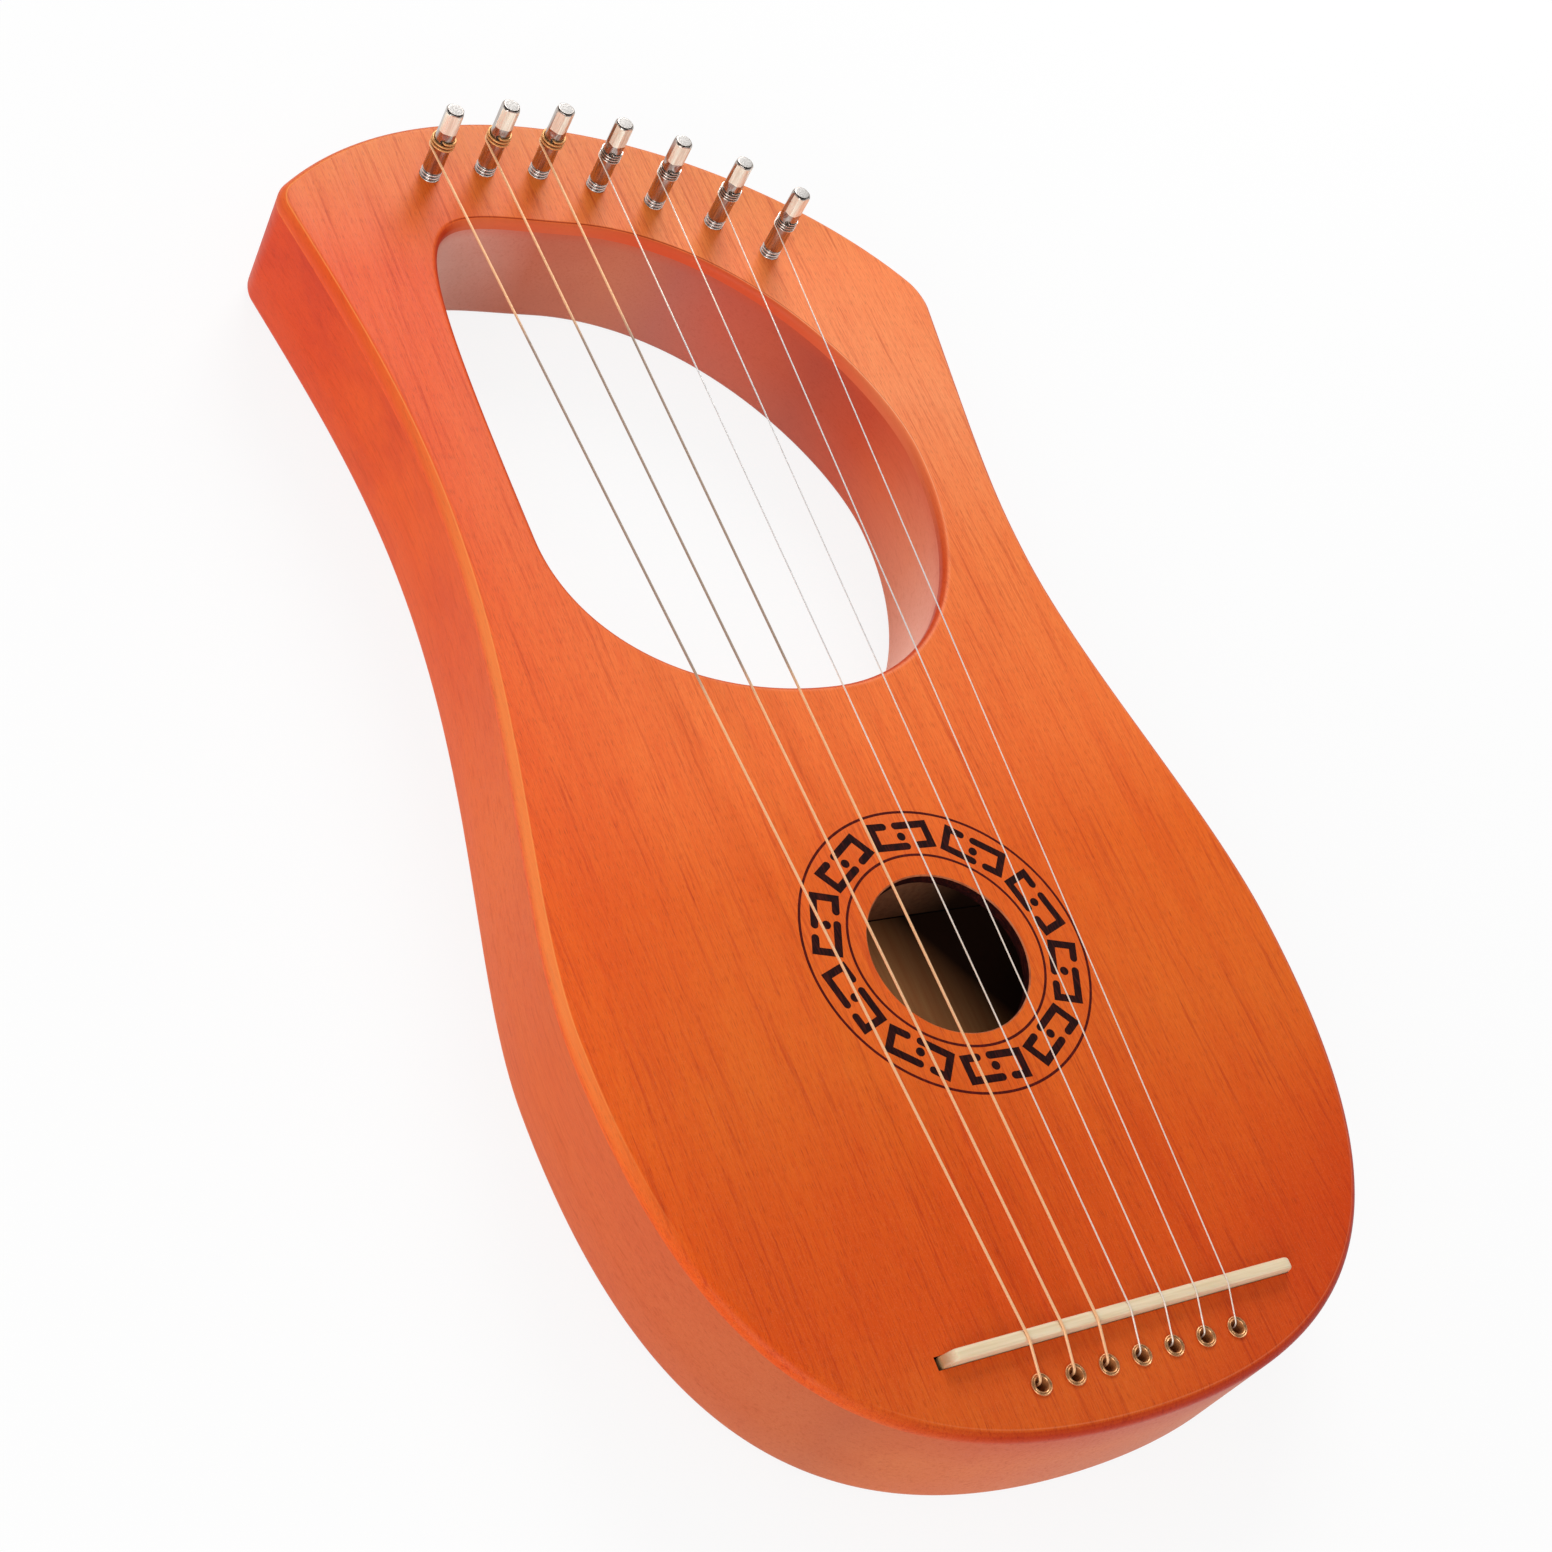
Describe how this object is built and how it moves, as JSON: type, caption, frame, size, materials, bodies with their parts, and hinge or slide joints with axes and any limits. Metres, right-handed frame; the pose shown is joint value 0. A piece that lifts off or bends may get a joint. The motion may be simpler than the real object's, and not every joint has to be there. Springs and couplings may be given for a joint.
{
  "type": "lyre harp",
  "caption": "Hand-held lyre harp: hollow wooden body with a sound hole, arms and yoke round a hand opening, strung from tail to tuning pins.",
  "frame": {"origin": "centre of the bounding box on the back face, which the harp lies on", "axes": "+Y from the tail to the yoke, +Z from the back to the strings, +X across the body"},
  "size_m": [0.189, 0.3646, 0.056],
  "materials": {
    "face_wood": "orange-brown mahogany stain, satin lacquer",
    "side_wood": "red-orange mahogany stain, satin lacquer",
    "bone": "cream, polished",
    "nickel": "nickel plate, polished",
    "brass": "brass, lightly worn",
    "wound_string": "bronze wrap over a steel core",
    "plain_string": "plain steel wire"
  },
  "bodies": {
    "body": {"soundboard": "face_wood", "body_core": "side_wood", "back_plate": "side_wood", "saddle": "bone", "eyelet_1": "brass", "ball_end_1": "brass", "string_1": "wound_string", "eyelet_2": "brass", "ball_end_2": "brass", "string_2": "wound_string", "eyelet_3": "brass", "ball_end_3": "brass", "string_3": "wound_string", "eyelet_4": "brass", "ball_end_4": "brass", "string_4": "plain_string", "eyelet_5": "brass", "ball_end_5": "brass", "string_5": "plain_string", "eyelet_6": "brass", "ball_end_6": "brass", "string_6": "plain_string", "eyelet_7": "brass", "ball_end_7": "brass", "string_7": "plain_string"},
    "pin_1": {"tuning_pin_1": "nickel", "string_winding_1": "wound_string"},
    "pin_2": {"tuning_pin_2": "nickel", "string_winding_2": "wound_string"},
    "pin_3": {"tuning_pin_3": "nickel", "string_winding_3": "wound_string"},
    "pin_4": {"tuning_pin_4": "nickel", "string_winding_4": "plain_string"},
    "pin_5": {"tuning_pin_5": "nickel", "string_winding_5": "plain_string"},
    "pin_6": {"tuning_pin_6": "nickel", "string_winding_6": "plain_string"},
    "pin_7": {"tuning_pin_7": "nickel", "string_winding_7": "plain_string"}
  },
  "joints": [
    {"name": "pin_1_turn", "type": "hinge", "parent": "body", "child": "pin_1", "pos_m": [-0.0435, 0.16247, 0.034], "axis": [0, 0, 1], "continuous": true},
    {"name": "pin_2_turn", "type": "hinge", "parent": "body", "child": "pin_2", "pos_m": [-0.0274, 0.16474, 0.034], "axis": [0, 0, 1], "continuous": true},
    {"name": "pin_3_turn", "type": "hinge", "parent": "body", "child": "pin_3", "pos_m": [-0.0123, 0.16421, 0.034], "axis": [0, 0, 1], "continuous": true},
    {"name": "pin_4_turn", "type": "hinge", "parent": "body", "child": "pin_4", "pos_m": [0.0029, 0.1598, 0.034], "axis": [0, 0, 1], "continuous": true},
    {"name": "pin_5_turn", "type": "hinge", "parent": "body", "child": "pin_5", "pos_m": [0.0179, 0.15406, 0.034], "axis": [0, 0, 1], "continuous": true},
    {"name": "pin_6_turn", "type": "hinge", "parent": "body", "child": "pin_6", "pos_m": [0.0333, 0.14696, 0.034], "axis": [0, 0, 1], "continuous": true},
    {"name": "pin_7_turn", "type": "hinge", "parent": "body", "child": "pin_7", "pos_m": [0.0461, 0.13642, 0.034], "axis": [0, 0, 1], "continuous": true}
  ]
}
